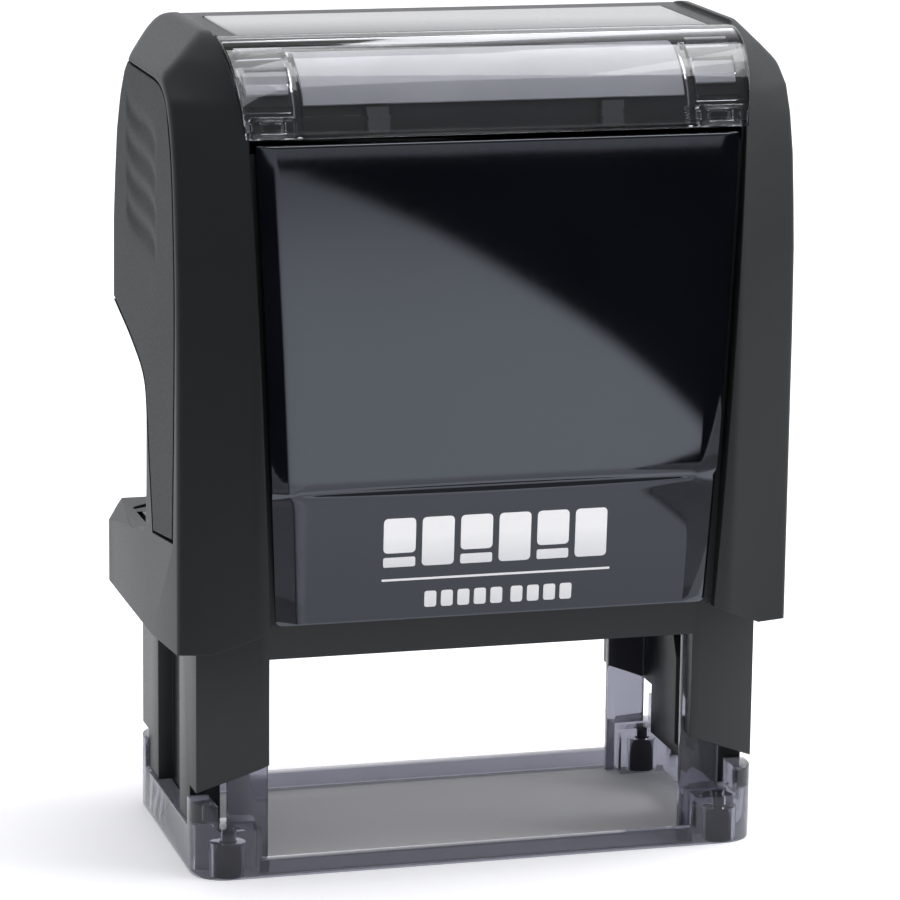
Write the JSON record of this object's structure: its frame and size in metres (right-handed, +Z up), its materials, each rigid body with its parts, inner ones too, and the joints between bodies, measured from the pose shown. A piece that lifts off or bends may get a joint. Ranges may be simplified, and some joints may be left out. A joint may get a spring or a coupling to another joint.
{
  "type": "self-inking stamp",
  "caption": "Upright self-inking hand stamp: a sprung cap slides down over a legged frame with a clear foot and flips a rubber die from the ink pad to the paper.",
  "frame": {"origin": "on the ground at the middle of the stamp's footprint", "axes": "+Z up, the glossy name panel faces -Y, +X to the right of someone facing that panel"},
  "size_m": [0.057, 0.0356, 0.076],
  "materials": {
    "frame_plastic": "fine grain",
    "clear_tinted": "polished, smoke tint",
    "foot_rubber": "soft matt",
    "spring_steel": "drawn wire",
    "cap_plastic": "fine grain",
    "panel_gloss": "piano gloss",
    "top_satin": "satin",
    "grip_plastic": "coarse grain",
    "card": "uncoated card",
    "bridge_plastic": "smooth",
    "pin_steel": "ground",
    "window_clear": "polished, clear",
    "platen_plastic": "smooth",
    "cushion_foam": "fine foam",
    "die_rubber": "laser-cut rubber",
    "tray_plastic": "smooth",
    "ink_felt": "soaked felt",
    "button_plastic": "smooth"
  },
  "bodies": {
    "frame": {"inner_frame": "frame_plastic", "clear_foot": "clear_tinted", "rubber_foot_front_left": "foot_rubber", "rubber_foot_front_right": "foot_rubber", "rubber_foot_back_left": "foot_rubber", "rubber_foot_back_right": "foot_rubber", "return_spring": "spring_steel", "cartridge_tray": "tray_plastic", "ink_pad": "ink_felt"},
    "cap": {"cap_shell": "cap_plastic", "front_panel": "panel_gloss", "back_panel": "panel_gloss", "top_plate": "top_satin", "left_side_grip": "grip_plastic", "right_side_grip": "grip_plastic", "index_card": "card", "bridge": "bridge_plastic", "left_axle_pin": "pin_steel", "right_axle_pin": "pin_steel"},
    "window": {"index_window": "window_clear"},
    "lock": {"lock_button": "button_plastic"},
    "platen": {"platen": "platen_plastic", "die_cushion": "cushion_foam", "rubber_die": "die_rubber"}
  },
  "joints": [
    {"name": "cap_press", "type": "slide", "parent": "frame", "child": "cap", "axis": [0, 0, -1], "range_m": [0, 0.02], "stiffness_N_per_m": 450, "springref_m": -0.012, "deforming": ["return_spring"]},
    {"name": "platen_flip", "type": "hinge", "parent": "cap", "child": "platen", "pos_m": [0, 0, 0.0272], "axis": [-1, 0, 0], "range_deg": [0, 180]},
    {"name": "window_lift", "type": "slide", "parent": "cap", "child": "window", "axis": [0, -0.7071, 0.7071], "range_m": [0, 0.008]},
    {"name": "lock_press", "type": "slide", "parent": "cap", "child": "lock", "axis": [0, -1, 0], "range_m": [0, 0.001], "stiffness_N_per_m": 400, "springref_m": -0.001}
  ],
  "couplings": [
    {"joint": "platen_flip", "follows": "cap_press", "rad_per_m": 157.07}
  ]
}
